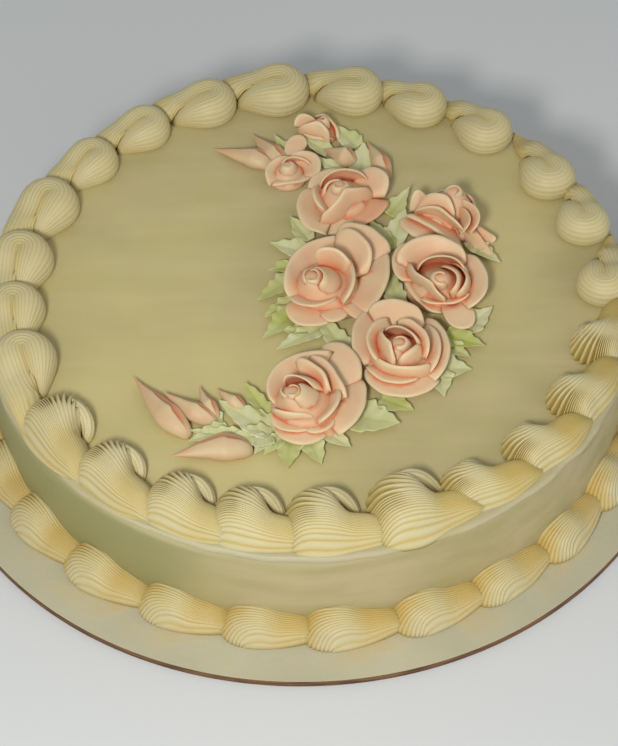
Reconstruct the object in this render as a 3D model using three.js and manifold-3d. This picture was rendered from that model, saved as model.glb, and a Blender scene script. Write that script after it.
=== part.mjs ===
// A round buttercream cake on its thin card board: a piped curl border round the top,
// a shell border round the foot, and a spray of piped roses, buds and leaves.
// Millimetres, +Z up. The origin is the middle of the board's underside.
import * as THREE from 'three';
import Module from 'manifold-3d';
import { mergeVertices } from 'three/addons/utils/BufferGeometryUtils.js';

const wasm = await Module();
wasm.setup();

// Driving dimensions of the board and the cake
const BOARD_RADIUS = 152.4;
const BOARD_THICKNESS = 3;
const BOARD_EDGE = 0.4;
const CAKE_RADIUS = 129.7;
const CAKE_HEIGHT = 43.5;
const CAKE_CENTRE_X = 1.9;
const RIM_BEAD = 0.7;
const RIM_ROUND = 4.2;
const RIM_STEPS = 3;
const GAP = 0.3;
const ROUND_SEGMENTS = 60;
const SPACE_SEGMENTS = 24;

const BOARD_TOP = BOARD_THICKNESS;
const CAKE_TOP = BOARD_TOP + CAKE_HEIGHT;
const DEGREES = Math.PI / 180;

// The two piped borders, piped anticlockwise seen from above. A stroke's head is a dome, half
// as long as headLength, and its tail runs on for tailLength and strays outwards by sway.
const TOP_BORDER = {
  centreX: 2.5, centreY: 2.2, radius: 116.3, strokes: 24, firstHead: 18.6,
  headLength: 12, tailLength: 33.5, sway: 5, halfWidth: 12.5, height: 13, sink: 3,
  ridges: 0.7, sides: 16, rings: 6,
};
const FOOT_BORDER = {
  centreX: 1.9, centreY: 0, radius: 130.5, strokes: 25, firstHead: 15.6,
  headLength: 13, tailLength: 31, sway: 1, halfWidth: 10, height: 14.5, sink: 3,
  ridges: 0.5, sides: 10, rings: 6,
};
const TAIL_ROUNDING = 1.3;
const TAIL_TAPER = 1.1;

// How large each stroke of the top border came out, and how many degrees it strays from even
// spacing, from the first head on
const TOP_STROKES = [
  [0.9, -1.6], [0.93, -2.1], [0.93, 1.1], [0.93, 1.6], [1, 0.8], [1.07, 1.9],
  [0.98, 2], [0.9, 2], [0.92, 1.3], [1.04, 1.5], [1.09, 2.6], [1.01, 0.8],
  [1.07, -0.6], [1.03, 1.4], [0.96, 1.4], [1, 1.3], [1.07, -0.7], [1.15, -2],
  [1.26, -1], [0.88, -3.5], [0.86, -3.8], [0.88, -3.6], [0.88, -4], [0.88, -3.6],
];
const FOOT_UNEVENNESS = 0.07;

// Colours of the icing and the card
const COLOURS = {
  card: 0xd8d6c2, coating: 0xcbbf92, border: 0xdccf9d, petal: 0xe2ae8c, leaf: 0xc3c98c,
};
const CARD_ROUGHNESS = 0.6;
const COATING_ROUGHNESS = 0.6;
const BORDER_ROUGHNESS = 0.55;
const FLOWER_ROUGHNESS = 0.5;

// A small repeatable draw between -1 and 1 for the unevenness of hand piping
function uneven(seed) {
  const wave = Math.sin(seed * 127.1 + 11.7) * 43758.5453;
  return 2 * (wave - Math.floor(wave)) - 1;
}

// Turns a closed three.js geometry into a solid, dropping the faces that shrink to a pole
function toSolid(geometry) {
  const bare = geometry.index ? geometry.clone() : mergeVertices(geometry.clone());
  bare.deleteAttribute('normal');
  bare.deleteAttribute('uv');
  const merged = mergeVertices(bare, 1e-3);
  const corners = merged.index.array;
  const kept = [];
  for (let i = 0; i < corners.length; i += 3) {
    const [a, b, c] = [corners[i], corners[i + 1], corners[i + 2]];
    if (a !== b && b !== c && c !== a) kept.push(a, b, c);
  }
  return new wasm.Manifold(new wasm.Mesh({
    numProp: 3,
    vertProperties: Float32Array.from(merged.attributes.position.array),
    triVerts: Uint32Array.from(kept),
  }));
}

function toMesh(solid, name, colour, roughness) {
  const { vertProperties, triVerts } = solid.getMesh();
  const geometry = new THREE.BufferGeometry();
  geometry.setAttribute('position', new THREE.BufferAttribute(vertProperties, 3));
  geometry.setIndex(new THREE.BufferAttribute(triVerts, 1));
  geometry.computeVertexNormals();
  const material = new THREE.MeshStandardMaterial({ color: colour, roughness, metalness: 0 });
  const mesh = new THREE.Mesh(geometry, material);
  mesh.name = name;
  return mesh;
}

// A body turned on an upright axis at centreX, from its profile of [radius, height] pairs
function turned(profile, centreX, segments) {
  const points = profile.map(([radius, height]) => new THREE.Vector2(radius, height));
  const geometry = new THREE.LatheGeometry(points, segments);
  geometry.rotateX(Math.PI / 2);
  geometry.translate(centreX, 0, 0);
  return toSolid(geometry);
}

// A plain disc between two heights, for the space that other pieces keep clear of
function disc(foot, top, centreX) {
  const profile = [[0, foot], [BOARD_RADIUS, foot], [BOARD_RADIUS, top], [0, top]];
  return turned(profile, centreX, SPACE_SEGMENTS);
}

// The board: a thin round card with a slightly eased edge
function boardSolid() {
  return turned([
    [0, 0],
    [BOARD_RADIUS - BOARD_EDGE, 0],
    [BOARD_RADIUS, BOARD_EDGE],
    [BOARD_RADIUS, BOARD_TOP - BOARD_EDGE],
    [BOARD_RADIUS - BOARD_EDGE, BOARD_TOP],
    [0, BOARD_TOP],
  ], 0, ROUND_SEGMENTS);
}

// The coated cake: an upright wall that swells to a rounded bead of icing at its top edge.
// grow moves the whole skin outwards, which gives the space that its neighbours keep clear of.
function cakeSolid(grow) {
  const beadRadius = CAKE_RADIUS + RIM_BEAD;
  const foot = BOARD_TOP + GAP - grow;
  const beadFoot = CAKE_TOP - 2 * RIM_ROUND;
  const profile = [[0, foot], [CAKE_RADIUS + grow, foot], [CAKE_RADIUS + grow, beadFoot]];
  for (let i = 0; i <= RIM_STEPS; i += 1) {
    const turn = i / RIM_STEPS * Math.PI / 2;
    profile.push([
      beadRadius - RIM_ROUND + (RIM_ROUND + grow) * Math.cos(turn),
      CAKE_TOP - RIM_ROUND + (RIM_ROUND + grow) * Math.sin(turn),
    ]);
  }
  profile.push([0, CAKE_TOP + grow]);
  return turned(profile, CAKE_CENTRE_X, ROUND_SEGMENTS);
}

// Where a place lies on a stroke: its way ahead of the head's middle, how full the icing is
// there, and how far down the tail it is. half runs from 0 at the start over 1 at the head's
// middle to 2 at the tip.
function alongStroke(border, half) {
  if (half <= 1) {
    const turn = half * Math.PI / 2;
    return { ahead: -border.headLength * Math.cos(turn), swell: Math.sin(turn), tail: 0 };
  }
  const tail = half - 1;
  const swell = (1 - tail ** TAIL_ROUNDING) ** TAIL_TAPER;
  return { ahead: border.tailLength * tail, swell, tail };
}

// One piped stroke of a border. Its head is a round dome, and its tail thins out until it
// ends under the next head. Ridges from the star nozzle run along it.
function strokeSolid(border, index, size, shift, baseHeight) {
  const geometry = new THREE.SphereGeometry(1, border.sides, border.rings);
  const places = geometry.attributes.position;
  const head = (border.firstHead + shift + index * 360 / border.strokes) * DEGREES;
  for (let i = 0; i < places.count; i += 1) {
    const half = Math.acos(THREE.MathUtils.clamp(places.getY(i), -1, 1)) / (Math.PI / 2);
    const round = Math.atan2(places.getZ(i), places.getX(i));
    const { ahead, swell, tail } = alongStroke(border, half);
    const side = Math.round((round + Math.PI) / (2 * Math.PI) * border.sides);
    const ridge = border.ridges * (side % 2 ? -1 : 1);
    const sideways = (border.halfWidth * size + ridge) * swell * Math.cos(round);
    const rise = Math.sin(round);
    const depth = rise > 0 ? border.height * size + ridge : border.sink;
    const sway = border.sway * THREE.MathUtils.smoothstep(tail, 0, 1);
    const radius = border.radius + sway - sideways;
    const angle = head + ahead * size / border.radius;
    places.setXYZ(
      i,
      border.centreX + radius * Math.cos(angle),
      border.centreY + radius * Math.sin(angle),
      baseHeight + depth * swell * rise,
    );
  }
  return toSolid(geometry);
}

// A whole border: its strokes run into one another as one piped line of icing
function borderSolid(border, drawn, baseHeight) {
  let ring = strokeSolid(border, 0, ...drawn[0], baseHeight);
  for (let index = 1; index < border.strokes; index += 1) {
    ring = ring.add(strokeSolid(border, index, ...drawn[index], baseHeight));
  }
  return ring;
}

// A thin curved sheet of icing. middle(across, along) gives its middle surface for
// across in -1..1 and along in 0..1. Both faces are split into triangles alike.
function sheetSolid(middle, spans, rows, thickness) {
  const grid = new THREE.PlaneGeometry(2, 1, spans, rows);
  const flat = grid.attributes.position;
  const count = flat.count;
  const step = 0.02;
  const front = [];
  const back = [];
  for (let i = 0; i < count; i += 1) {
    const across = flat.getX(i);
    const along = flat.getY(i) + 0.5;
    const point = middle(across, along);
    const alongSide = along > 0.5 ? -step : step;
    const acrossSide = across > 0 ? -step : step;
    const alongEdge = middle(across, along + alongSide).sub(point).multiplyScalar(1 / alongSide);
    const acrossEdge = middle(across + acrossSide, along).sub(point).multiplyScalar(1 / acrossSide);
    const normal = acrossEdge.cross(alongEdge).normalize().multiplyScalar(thickness / 2);
    front.push(point.clone().add(normal));
    back.push(point.clone().sub(normal));
  }
  const corners = [...grid.index.array];
  for (let i = 0; i < grid.index.count; i += 3) {
    const [a, b, c] = [grid.index.array[i], grid.index.array[i + 1], grid.index.array[i + 2]];
    corners.push(c + count, b + count, a + count);
  }
  const rim = [];
  for (let i = 0; i < spans; i += 1) rim.push(i);
  for (let i = 0; i < rows; i += 1) rim.push(spans + i * (spans + 1));
  for (let i = 0; i < spans; i += 1) rim.push(count - 1 - i);
  for (let i = 0; i < rows; i += 1) rim.push((rows - i) * (spans + 1));
  for (let i = 0; i < rim.length; i += 1) {
    const here = rim[i];
    const next = rim[(i + 1) % rim.length];
    corners.push(here, next, next + count, here, next + count, here + count);
  }
  const geometry = new THREE.BufferGeometry().setFromPoints([...front, ...back]);
  geometry.setIndex(corners);
  return toSolid(geometry);
}

// The rows of petals of a piped rose, outermost first, in parts of its radius. Each row is a
// pleat in one turned body: up its outside, over the lip and down to the valley behind it.
// drop is how far a petal's ends hang below its middle, and tuck how far one end is wound
// inside the next petal.
const PETAL_ROWS = [
  { count: 5, lip: 0.98, high: 0.52, thick: 0.1, valley: [0.56, 0.3], drop: 0.41, tuck: 0.07, turn: 10 },
  { count: 4, lip: 0.64, high: 0.8, thick: 0.09, valley: [0.3, 0.56], drop: 0.36, tuck: 0.08, turn: 65 },
  { count: 3, lip: 0.34, high: 0.94, thick: 0.08, valley: [0.12, 0.74], drop: 0.24, tuck: 0.1, turn: 20 },
];
const PETAL_PINCH = 0.08;
const BELLY = 0.1;
const HEART = { radius: 0.07, rim: 0.92, top: 0.95 };
const ROSE_SIDES = 20;
const HALF_ROSE_SIDES = 16;
const SEED_TURN = 37;

// Where an angle falls on its petal: from -1 at the end tucked inside to 1 at the end outside
function acrossPetal(row, angle, seed) {
  const turns = (angle / DEGREES - row.turn - SEED_TURN * seed) / 360 * row.count;
  return 2 * (turns - Math.floor(turns)) - 1;
}

// The rings of the body from the middle of its foot, up and over each row, to the heart.
// share is how much of a petal's drop and tuck a ring takes.
function roseRings(rows) {
  const footPart = rows[0].lip / 2;
  const rings = [{ part: 0, height: 0 }, { part: footPart, height: 0 }];
  rows.forEach((row, i) => {
    const [footRadius, footHeight] = i ? rows[i - 1].valley : [footPart, 0];
    const belly = (footRadius + row.lip) / 2 + BELLY;
    const bellyHeight = (footHeight * 2 + row.high) / 3;
    rings.push({ part: belly, height: bellyHeight, row, share: 0.5 });
    rings.push({ part: row.lip, height: row.high - row.thick, row, share: 1 });
    rings.push({ part: row.lip - row.thick, height: row.high, row, share: 1 });
    rings.push({ part: row.valley[0], height: row.valley[1] });
  });
  rings.push({ part: HEART.radius, height: HEART.rim }, { part: 0, height: HEART.top });
  return rings;
}

function roseTransform(rose) {
  const across = new THREE.Vector3(
    -Math.sin(rose.towards * DEGREES),
    Math.cos(rose.towards * DEGREES),
    0,
  );
  return new THREE.Matrix4().compose(
    new THREE.Vector3(rose.x, rose.y, CAKE_TOP + GAP - rose.sink),
    new THREE.Quaternion().setFromAxisAngle(across, rose.tilt * DEGREES),
    new THREE.Vector3(1, 1, 1),
  );
}

// One rose, tilted on the cake
function roseSolid(rose, rows, sides) {
  const rings = roseRings(rows);
  const profile = rings.map(({ part, height }) => new THREE.Vector2(part, height));
  const geometry = new THREE.LatheGeometry(profile, sides);
  const places = geometry.attributes.position;
  for (let i = 0; i < places.count; i += 1) {
    const { part, height, row, share } = rings[i % rings.length];
    const angle = Math.floor(i / rings.length) % sides / sides * 2 * Math.PI;
    let reach = part;
    let rise = height;
    if (row) {
      const across = acrossPetal(row, angle, rose.seed);
      const arch = across * across;
      reach += share * (row.tuck * across - PETAL_PINCH * part * arch);
      rise -= share * row.drop * (row.high - row.valley[1]) * arch;
    }
    places.setXYZ(
      i,
      rose.radius * reach * Math.cos(angle),
      rose.radius * reach * Math.sin(angle),
      rose.radius * rise * rose.squash,
    );
  }
  geometry.applyMatrix4(roseTransform(rose));
  return toSolid(geometry);
}

// The space that a rose fills, which its neighbours are cut back from
const SPACE_SIDES = 12;
const ROSE_SPACE = [
  [0, -0.3], [0.54, -0.3], [0.66, 0], [0.95, 0.17], [1.14, 0.36], [1.13, 0.58], [0.78, 0.88],
  [0.42, 1.02], [0, 1.05],
];
const HALF_ROSE_SPACE = [
  [0, -0.3], [0.36, -0.3], [0.5, 0.02], [0.72, 0.3], [0.74, 0.6], [0.4, 0.76], [0, 0.76],
];

function roseSpace(rose, outline) {
  const profile = outline.map(([part, height]) => new THREE.Vector2(
    part * rose.radius + (part ? GAP : 0),
    height * rose.radius,
  ));
  const geometry = new THREE.LatheGeometry(profile, SPACE_SIDES);
  geometry.rotateX(Math.PI / 2);
  geometry.applyMatrix4(roseTransform(rose));
  return toSolid(geometry);
}

// The six roses: middle of the foot, radius, how deep the foot is pressed down, tilt from
// upright, the way it leans and which petal starts where
const ROSES = [
  { name: 'rose_3', x: 55.2, y: 6.4, radius: 19.4, sink: 1, tilt: 6, towards: 270, seed: 3 },
  { name: 'rose_5', x: 38.2, y: -34, radius: 19.6, sink: 1, tilt: 8, towards: 275, seed: 5 },
  { name: 'rose_6', x: 3.6, y: -55.5, radius: 21, sink: 1, tilt: 10, towards: 245, seed: 6 },
  { name: 'rose_2', x: 12.6, y: 7, radius: 21.8, sink: 1, tilt: 12, towards: 225, seed: 2 },
  { name: 'rose_1', x: 17.5, y: 52.3, radius: 18.4, sink: 1, tilt: 8, towards: 250, seed: 1 },
  { name: 'rose_4', x: 56.6, y: 40.5, radius: 18, sink: 2, tilt: 24, towards: 60, seed: 4 },
];

// The two half-open roses of the upper spray, which have no outer petals and are lower
const HALF_ROSES = [
  {
    name: 'half_rose_1', x: -3.4, y: 70.6, radius: 16.5, squash: 0.72,
    sink: 1.5, tilt: 18, towards: 200, seed: 7,
  },
  {
    name: 'half_rose_2', x: 8.6, y: 94.6, radius: 14, squash: 0.75,
    sink: 1.5, tilt: 14, towards: 90, seed: 8,
  },
];

// A bud: a folded petal like a slim drop lying on the cake, with its tip turned up.
// grow swells it into the space that its neighbours keep clear of.
const BUD_SIDES = 8;
const BUD_RINGS = 5;
const BUD_FULLEST = 0.8;
const BUD_ROUNDING = 0.9;
const BUD_MIDDLE = 0.45;

function budSolid(bud, grow) {
  const geometry = new THREE.SphereGeometry(1, BUD_SIDES, BUD_RINGS);
  const places = geometry.attributes.position;
  const foot = new THREE.Vector2(...bud.foot);
  const run = new THREE.Vector2(...bud.tip).sub(foot);
  const length = run.length();
  const ahead = run.clone().divideScalar(length);
  for (let i = 0; i < places.count; i += 1) {
    const along = Math.acos(THREE.MathUtils.clamp(places.getY(i), -1, 1)) / Math.PI;
    const round = Math.atan2(places.getZ(i), places.getX(i));
    const atTip = along < 0.01 || along > 0.99;
    const swell = Math.sin(Math.PI * along ** BUD_FULLEST) ** BUD_ROUNDING;
    const skin = atTip ? 0 : grow;
    const bend = bud.bend * along * along;
    const sideways = (bud.width / 2 * swell + skin) * Math.cos(round) + bend;
    const middle = bud.height * BUD_MIDDLE * swell + bud.rise * along * along;
    const thickness = bud.height * (1 - BUD_MIDDLE) * swell + skin;
    const forward = (length + 2 * grow) * along - grow;
    places.setXYZ(
      i,
      foot.x + ahead.x * forward - ahead.y * sideways,
      foot.y + ahead.y * forward + ahead.x * sideways,
      CAKE_TOP + GAP + middle + thickness * Math.sin(round),
    );
  }
  return toSolid(geometry);
}

// The buds: middle of the foot, tip, width, height, how far the tip turns up and bends aside
const BUDS = [
  { foot: [-43.1, -69.2], tip: [-66.3, -41.5], width: 12, height: 9, rise: 3, bend: 1 },
  { foot: [-34.5, -63.2], tip: [-54.2, -47.8], width: 9, height: 9, rise: 4, bend: 1.5 },
  { foot: [-33.4, -57.6], tip: [-40.2, -45.5], width: 6.5, height: 6, rise: 3, bend: 1 },
  { foot: [-22.6, -54.2], tip: [-32.6, -48], width: 6.5, height: 6, rise: 2, bend: 1 },
  { foot: [-19.5, -78], tip: [-50.2, -82.4], width: 12, height: 9, rise: 4, bend: -3 },
  { foot: [-14.8, 77.6], tip: [-37.2, 85], width: 11, height: 8, rise: 2, bend: 0 },
  { foot: [-7.5, 83.5], tip: [-21.5, 94.5], width: 8.5, height: 7, rise: 2, bend: 0 },
  { foot: [23.6, 79.2], tip: [9.5, 84.6], width: 10.5, height: 8.5, rise: 2.5, bend: 0 },
  { foot: [35.4, 71.8], tip: [28.4, 90.2], width: 8.5, height: 8, rise: 3, bend: 0 },
];

// A leaf: a ribbon of icing squeezed into ruffles, wide at its foot and drawn out to a point
const LEAF = {
  thickness: 1.3, spans: 2, rows: 3, tipWidth: 0.6, footTaper: 0.2, taper: 0.75,
  cup: 1.6, ruffle: 0.9, waves: 2.4, lag: 0.25, lift: 0.62,
};

function leafSolid(leaf, grow) {
  const foot = new THREE.Vector2(...leaf.foot);
  const run = new THREE.Vector2(...leaf.tip).sub(foot);
  const length = run.length();
  const ahead = run.clone().divideScalar(length);
  const middle = (across, along) => {
    const full = LEAF.footTaper + (1 - LEAF.footTaper) * along;
    const taper = Math.sin(Math.PI * full) ** LEAF.taper;
    const sideways = (leaf.width / 2 * taper + LEAF.tipWidth / 2 + grow) * across;
    const forward = (length + 2 * grow) * along - grow;
    const wave = Math.sin((along * LEAF.waves + LEAF.lag * across) * Math.PI);
    const edge = LEAF.cup * across * across * taper + LEAF.ruffle * wave * Math.abs(across);
    return new THREE.Vector3(
      foot.x + ahead.x * forward - ahead.y * sideways,
      foot.y + ahead.y * forward + ahead.x * sideways,
      CAKE_TOP + GAP + LEAF.lift + edge + leaf.rise * along * along,
    );
  };
  return sheetSolid(middle, LEAF.spans, LEAF.rows, LEAF.thickness + 2 * grow);
}

// The leaves: middle of the foot, tip, width and how far the tip turns up
const LEAVES = [
  { foot: [-0.4, 27], tip: [-7.5, 43], width: 8, rise: 2 },
  { foot: [-2.5, 14], tip: [-17.5, 27.5], width: 9.5, rise: 1.5 },
  { foot: [-5.5, 3], tip: [-19, 3.2], width: 10, rise: 1 },
  { foot: [-2.6, -4.5], tip: [-15.2, -18], width: 10, rise: 1 },
  { foot: [5, -17], tip: [-7.5, -27], width: 9, rise: 1.5 },
  { foot: [17.5, -24], tip: [6.5, -14.5], width: 8, rise: 2 },
  { foot: [31.5, 27], tip: [40.5, 47], width: 10.5, rise: 3.5 },
  { foot: [35, 44], tip: [43.6, 60], width: 8, rise: 4 },
  { foot: [33.5, -2], tip: [36, 15], width: 7, rise: 1.5 },
  { foot: [68, 29], tip: [79.5, 13.5], width: 6.5, rise: 2 },
  { foot: [63.5, -13.5], tip: [75, -7], width: 8.5, rise: 1 },
  { foot: [55, -18.5], tip: [71.5, -30], width: 12.5, rise: 2 },
  { foot: [53.5, -29.5], tip: [65, -41], width: 8.5, rise: 1.5 },
  { foot: [50, -42.5], tip: [55, -54], width: 7.5, rise: 0.5 },
  { foot: [31, -50], tip: [41.5, -65], width: 8.5, rise: 0.5 },
  { foot: [16.5, -61.5], tip: [36.4, -69.5], width: 13.5, rise: 3 },
  { foot: [7.4, -70.5], tip: [17.2, -81.5], width: 9, rise: 1 },
  { foot: [-2, -71], tip: [-6.5, -89.3], width: 9, rise: 1.5 },
  { foot: [-9.5, -64.5], tip: [-32.4, -61], width: 12, rise: 2.5 },
  { foot: [-12.6, -58], tip: [-23.6, -46.2], width: 9.5, rise: 3 },
  { foot: [-30, -69.5], tip: [-42.6, -75], width: 7, rise: 0.5 },
  { foot: [-3, 78.5], tip: [-11.2, 92], width: 7, rise: 2.5 },
  { foot: [9, 84.5], tip: [-1, 90.6], width: 8, rise: 2.5 },
  { foot: [24.5, 86], tip: [17.6, 96.6], width: 8, rise: 2.5 },
  { foot: [25.4, 70], tip: [27, 86], width: 7.5, rise: 4 },
  { foot: [18.5, 67.5], tip: [8.4, 76.6], width: 7.5, rise: 3 },
];

// Everything is cut back from the cake and the board by the gap between touching pieces
const cakeSpace = cakeSolid(GAP);
const belowTop = disc(BOARD_TOP, CAKE_TOP + GAP, CAKE_CENTRE_X);
const boardSpace = disc(-BOARD_TOP, BOARD_TOP + GAP, 0);
const footStrokes = Array.from({ length: FOOT_BORDER.strokes }, (_, index) => (
  [1 + FOOT_UNEVENNESS * uneven(index), uneven(index + FOOT_BORDER.strokes)]
));

const group = new THREE.Group();

function add(solid, name, colour, roughness) {
  group.add(toMesh(solid, name, colour, roughness));
}

const topRing = borderSolid(TOP_BORDER, TOP_STROKES, CAKE_TOP).subtract(belowTop);
const footRing = borderSolid(FOOT_BORDER, footStrokes, BOARD_TOP)
  .subtract(cakeSpace)
  .subtract(boardSpace);
add(boardSolid(), 'cake_board', COLOURS.card, CARD_ROUGHNESS);
add(cakeSolid(0), 'cake', COLOURS.coating, COATING_ROUGHNESS);
add(topRing, 'top_shell_border', COLOURS.border, BORDER_ROUGHNESS);
add(footRing, 'foot_shell_border', COLOURS.border, BORDER_ROUGHNESS);

// Each flower is cut back from those placed before it, and each leaf from every flower
let taken = belowTop;
function addFlower(solid, space, name, colour) {
  add(solid.subtract(taken), name, colour, FLOWER_ROUGHNESS);
  taken = taken.add(space);
}

for (const spec of ROSES) {
  const rose = { ...spec, squash: 1 };
  const solid = roseSolid(rose, PETAL_ROWS, ROSE_SIDES);
  addFlower(solid, roseSpace(rose, ROSE_SPACE), rose.name, COLOURS.petal);
}
for (const rose of HALF_ROSES) {
  const solid = roseSolid(rose, PETAL_ROWS.slice(1), HALF_ROSE_SIDES);
  addFlower(solid, roseSpace(rose, HALF_ROSE_SPACE), rose.name, COLOURS.petal);
}
BUDS.forEach((bud, i) => {
  addFlower(budSolid(bud, 0), budSolid(bud, GAP), `bud_${i + 1}`, COLOURS.petal);
});
LEAVES.forEach((leaf, i) => {
  addFlower(leafSolid(leaf, 0), leafSolid(leaf, GAP), `leaf_${i + 1}`, COLOURS.leaf);
});

export default group;
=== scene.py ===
import math

import bmesh
import bpy
from mathutils import Matrix, Vector, bvhtree, noise


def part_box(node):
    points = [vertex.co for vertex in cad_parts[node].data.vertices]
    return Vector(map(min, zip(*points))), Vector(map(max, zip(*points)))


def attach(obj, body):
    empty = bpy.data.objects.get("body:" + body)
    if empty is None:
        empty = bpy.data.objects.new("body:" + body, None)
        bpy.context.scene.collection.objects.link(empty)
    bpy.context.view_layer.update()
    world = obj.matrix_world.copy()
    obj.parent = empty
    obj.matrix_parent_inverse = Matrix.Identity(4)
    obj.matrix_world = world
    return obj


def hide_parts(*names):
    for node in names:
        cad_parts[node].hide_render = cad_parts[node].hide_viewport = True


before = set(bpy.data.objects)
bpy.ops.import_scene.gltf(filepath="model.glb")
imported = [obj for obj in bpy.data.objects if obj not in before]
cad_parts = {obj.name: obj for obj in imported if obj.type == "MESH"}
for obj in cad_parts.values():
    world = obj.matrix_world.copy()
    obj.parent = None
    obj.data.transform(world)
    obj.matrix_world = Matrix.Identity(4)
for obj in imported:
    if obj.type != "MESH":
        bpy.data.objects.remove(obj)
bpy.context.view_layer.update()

# The camera looks down on the cake from the front, as far off as a hand-held camera would be.
# The cake stands on a plain pale floor, with one soft key light low at the left of the camera
# and a weak fill from the right.
MM = 0.001
AIM = Vector((1.89 * MM, 0.0, 3.0 * MM))
CAMERA_DISTANCE = 1.0229
CAMERA_ELEVATION = math.radians(48.41)
CAMERA_ROLL = math.radians(-1.01)
CAMERA_LENS = 120.64
KEY_AZIMUTH = math.radians(-14)
KEY_ELEVATION = math.radians(43)
KEY_DISTANCE = 0.95
KEY_SIZE = 0.14
KEY_POWER = 5.5
FILL_AZIMUTH = math.radians(55)
FILL_ELEVATION = math.radians(16)
FILL_SIZE = 0.8
FILL_POWER = 2.2
SKY = (0.9, 0.95, 1.0, 1.0)
SKY_STRENGTH = 0.44


def around(azimuth, elevation, distance):
    """A place round the cake: azimuth 0 is straight in front of it, and 90 degrees to its right."""
    flat = distance * math.cos(elevation)
    up = distance * math.sin(elevation)
    return AIM + Vector((flat * math.sin(azimuth), -flat * math.cos(azimuth), up))


camera_data = bpy.data.cameras.new("camera")
camera_data.lens = CAMERA_LENS
camera = bpy.data.objects.new("camera", camera_data)
tilt = Matrix.Rotation(math.pi / 2 - CAMERA_ELEVATION, 4, "X")
roll = Matrix.Rotation(CAMERA_ROLL, 4, "Z")
camera.matrix_world = Matrix.Translation(around(0, CAMERA_ELEVATION, CAMERA_DISTANCE)) @ tilt @ roll
bpy.context.scene.collection.objects.link(camera)
bpy.context.scene.camera = camera


def soft_light(name, place, size, power):
    """A square soft box that faces the cake."""
    data = bpy.data.lights.new(name, "AREA")
    data.size = size
    data.energy = power
    light = bpy.data.objects.new(name, data)
    light.matrix_world = (
        Matrix.Translation(place) @ (AIM - place).to_track_quat("-Z", "Y").to_matrix().to_4x4()
    )
    bpy.context.scene.collection.objects.link(light)


soft_light("key_light", around(KEY_AZIMUTH, KEY_ELEVATION, KEY_DISTANCE), KEY_SIZE, KEY_POWER)
soft_light("fill_light", around(FILL_AZIMUTH, FILL_ELEVATION, KEY_DISTANCE), FILL_SIZE, FILL_POWER)
bpy.context.scene.view_settings.view_transform = "Standard"
world = bpy.data.worlds.new("studio")
world.use_nodes = True
sky = world.node_tree.nodes["Background"]
sky.inputs["Color"].default_value = SKY
sky.inputs["Strength"].default_value = SKY_STRENGTH
bpy.context.scene.world = world

FLOOR_HALF = 3.0
FLOOR_GAP = 0.1 * MM
FLOOR_COLOUR = (0.62, 0.62, 0.6, 1.0)
FLOOR_ROUGHNESS = 0.8
floor_mesh = bmesh.new()
bmesh.ops.create_grid(floor_mesh, x_segments=1, y_segments=1, size=FLOOR_HALF)
bmesh.ops.translate(floor_mesh, verts=floor_mesh.verts, vec=(0, 0, -FLOOR_GAP))
floor_data = bpy.data.meshes.new("floor")
floor_mesh.to_mesh(floor_data)
floor_mesh.free()
floor_paint = bpy.data.materials.new("floor_paint")
floor_paint.use_nodes = True
floor_shader = floor_paint.node_tree.nodes["Principled BSDF"]
floor_shader.inputs["Base Color"].default_value = FLOOR_COLOUR
floor_shader.inputs["Roughness"].default_value = FLOOR_ROUGHNESS
floor_data.materials.append(floor_paint)
floor = bpy.data.objects.new("floor", floor_data)
bpy.context.scene.collection.objects.link(floor)


# The cake board: a thin round card, coated off-white on its faces and brown where it was cut.
# It is punched out with a die, so its rim is square with a slight ease. Thin smears of icing
# lie on it round the foot of the cake.
board_low, board_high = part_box("cake_board")
BOARD_RADIUS = (board_high.x - board_low.x) / 2
BOARD_TOP = board_high.z
BOARD_SEGMENTS = 240
BOARD_EASE = 0.4 * MM
CARD_WHITE = (0.47, 0.435, 0.285, 1.0)
CARD_GREY = (0.41, 0.375, 0.25, 1.0)
CARD_SMEAR = (0.5, 0.4, 0.2, 1.0)
CARD_CORE = (0.2, 0.1, 0.04, 1.0)
CARD_CORE_DARK = (0.08, 0.035, 0.012, 1.0)
CARD_ROUGHNESS = 0.5
CARD_CLOUDS = 22
CARD_GRAIN = 400
CARD_RELIEF = 0.4 * MM
SMEAR_START = 136 * MM
SMEAR_END = 150 * MM
SMEAR_PATCHES = 55
SMEAR_ROUGHNESS = 0.35
EDGE_ROUGHNESS = 0.85
EDGE_LAYERS = 90
EDGE_RELIEF = 0.2 * MM


def shader_material(name, roughness):
    """A new material with one Principled shader, and that shader with its node tree."""
    material = bpy.data.materials.new(name)
    material.use_nodes = True
    shader = material.node_tree.nodes["Principled BSDF"]
    shader.inputs["Roughness"].default_value = roughness
    return material, shader, material.node_tree


def noise_node(tree, scale, detail=3.0, stretch=(1, 1, 1), distortion=0.0):
    """A noise texture laid out in the object's own coordinates, stretched along an axis if asked."""
    place = tree.nodes.new("ShaderNodeTexCoord")
    mapping = tree.nodes.new("ShaderNodeMapping")
    mapping.inputs["Scale"].default_value = stretch
    texture = tree.nodes.new("ShaderNodeTexNoise")
    texture.inputs["Scale"].default_value = scale
    texture.inputs["Detail"].default_value = detail
    texture.inputs["Distortion"].default_value = distortion
    tree.links.new(place.outputs["Object"], mapping.inputs["Vector"])
    tree.links.new(mapping.outputs["Vector"], texture.inputs["Vector"])
    return texture.outputs["Fac"]


def ranged(tree, value, low, high, to_low=0.0, to_high=1.0):
    """value spread from low..high to to_low..to_high, and held there."""
    node = tree.nodes.new("ShaderNodeMapRange")
    node.inputs["From Min"].default_value = low
    node.inputs["From Max"].default_value = high
    node.inputs["To Min"].default_value = to_low
    node.inputs["To Max"].default_value = to_high
    tree.links.new(value, node.inputs["Value"])
    return node.outputs["Result"]


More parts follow.
